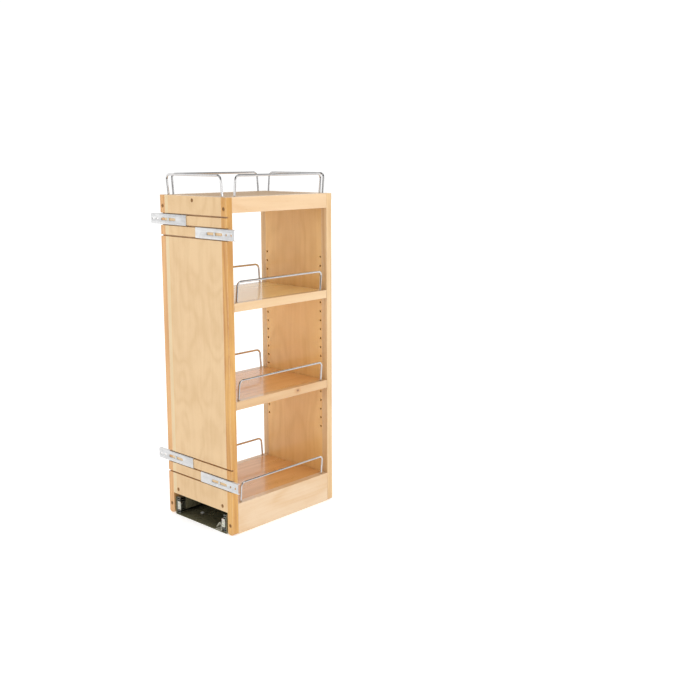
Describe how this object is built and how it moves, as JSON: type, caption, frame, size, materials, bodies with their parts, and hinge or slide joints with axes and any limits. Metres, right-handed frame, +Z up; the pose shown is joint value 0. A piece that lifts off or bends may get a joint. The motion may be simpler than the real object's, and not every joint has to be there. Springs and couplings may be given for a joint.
{
  "type": "pull-out pantry organiser",
  "caption": "Tall narrow open-sided wooden pull-out organiser with adjustable shelves, wire rails, door brackets and full-extension slides on a floor tray.",
  "frame": {"origin": "centre of the base tray's underside, where it rests on the cabinet floor", "axes": "-Y is the front, the way the unit pulls out; +X is the right side seen from the front; +Z is up"},
  "size_m": [0.2565, 0.2873, 0.7108],
  "materials": {
    "maple_ply": "clear satin lacquer, light maple ply with a soft swirl",
    "solid_maple": "clear satin lacquer on solid maple",
    "shelf_maple": "glossy clear lacquer",
    "chrome_wire": "bright chrome plating",
    "zinc_plate": "bright zinc plating, matte",
    "slide_steel": "zinc plated",
    "dark_steel": "dark zinc plating, shiny",
    "cage_steel": "yellow zinc plating",
    "screw_steel": "dull bronze, sunk heads"
  },
  "bodies": {
    "base": {"base_tray": "dark_steel", "slide_outer_left": "slide_steel", "slide_outer_right": "slide_steel"},
    "slide_middle": {"slide_middle_left": "slide_steel", "slide_middle_right": "slide_steel"},
    "outer_cages": {"outer_cage_left": "cage_steel", "outer_cage_right": "cage_steel"},
    "inner_cages": {"inner_cage_left": "cage_steel", "inner_cage_right": "cage_steel"},
    "carriage": {"front_panel": "maple_ply", "front_stile_left": "solid_maple", "front_stile_right": "solid_maple", "rear_panel": "maple_ply", "rear_stile_left": "solid_maple", "rear_stile_right": "solid_maple", "top_panel": "maple_ply", "bottom_panel": "shelf_maple", "top_apron_left": "solid_maple", "base_rail_left": "solid_maple", "top_apron_right": "solid_maple", "base_rail_right": "solid_maple", "top_rail_left": "chrome_wire", "top_rail_right": "chrome_wire", "top_rail_front": "chrome_wire", "top_rail_rear": "chrome_wire", "bottom_rail_left": "chrome_wire", "bottom_rail_right": "chrome_wire", "pin_lower_front_left": "slide_steel", "pin_lower_front_right": "slide_steel", "pin_lower_rear_left": "slide_steel", "pin_lower_rear_right": "slide_steel", "pin_upper_front_left": "slide_steel", "pin_upper_front_right": "slide_steel", "pin_upper_rear_left": "slide_steel", "pin_upper_rear_right": "slide_steel", "screw_stile_left_top": "screw_steel", "screw_stile_right_top": "screw_steel", "screw_stile_left_foot": "screw_steel", "screw_stile_right_foot": "screw_steel", "screw_panel_top": "screw_steel", "screw_panel_left": "screw_steel", "screw_panel_right": "screw_steel", "clamp_screw_upper_left": "slide_steel", "clamp_screw_upper_right": "slide_steel", "clamp_screw_lower_left": "slide_steel", "clamp_screw_lower_right": "slide_steel", "carriage_plate": "dark_steel", "slide_inner_left": "slide_steel", "slide_inner_right": "slide_steel"},
    "lower_shelf": {"lower_shelf_board": "shelf_maple", "lower_shelf_rail_left": "chrome_wire", "lower_shelf_rail_right": "chrome_wire"},
    "upper_shelf": {"upper_shelf_board": "shelf_maple", "upper_shelf_rail_left": "chrome_wire", "upper_shelf_rail_right": "chrome_wire"},
    "door_bracket_upper_left": {"bracket_upper_left": "zinc_plate"},
    "door_bracket_upper_right": {"bracket_upper_right": "zinc_plate"},
    "door_bracket_lower_left": {"bracket_lower_left": "zinc_plate"},
    "door_bracket_lower_right": {"bracket_lower_right": "zinc_plate"}
  },
  "joints": [
    {"name": "carriage_slide", "type": "slide", "parent": "base", "child": "carriage", "axis": [0, -1, 0], "range_m": [0, 0.254]},
    {"name": "slide_middle_travel", "type": "slide", "parent": "base", "child": "slide_middle", "axis": [0, -1, 0], "range_m": [0, 0.127]},
    {"name": "outer_cage_travel", "type": "slide", "parent": "base", "child": "outer_cages", "axis": [0, -1, 0], "range_m": [0, 0.0635]},
    {"name": "inner_cage_travel", "type": "slide", "parent": "base", "child": "inner_cages", "axis": [0, -1, 0], "range_m": [0, 0.1905]},
    {"name": "lower_shelf_lift", "type": "slide", "parent": "carriage", "child": "lower_shelf", "axis": [0, 0, 1], "range_m": [0, 0.09715]},
    {"name": "upper_shelf_lift", "type": "slide", "parent": "carriage", "child": "upper_shelf", "axis": [0, 0, 1], "range_m": [0, 0.09715]},
    {"name": "bracket_upper_left_slide", "type": "slide", "parent": "carriage", "child": "door_bracket_upper_left", "axis": [1, 0, 0], "range_m": [-0.02, 0.02]},
    {"name": "bracket_upper_right_slide", "type": "slide", "parent": "carriage", "child": "door_bracket_upper_right", "axis": [1, 0, 0], "range_m": [-0.02, 0.02]},
    {"name": "bracket_lower_left_slide", "type": "slide", "parent": "carriage", "child": "door_bracket_lower_left", "axis": [1, 0, 0], "range_m": [-0.02, 0.02]},
    {"name": "bracket_lower_right_slide", "type": "slide", "parent": "carriage", "child": "door_bracket_lower_right", "axis": [1, 0, 0], "range_m": [-0.02, 0.02]}
  ],
  "couplings": [
    {"joint": "slide_middle_travel", "follows": "carriage_slide", "ratio": 0.5},
    {"joint": "outer_cage_travel", "follows": "carriage_slide", "ratio": 0.25},
    {"joint": "inner_cage_travel", "follows": "carriage_slide", "ratio": 0.75}
  ]
}
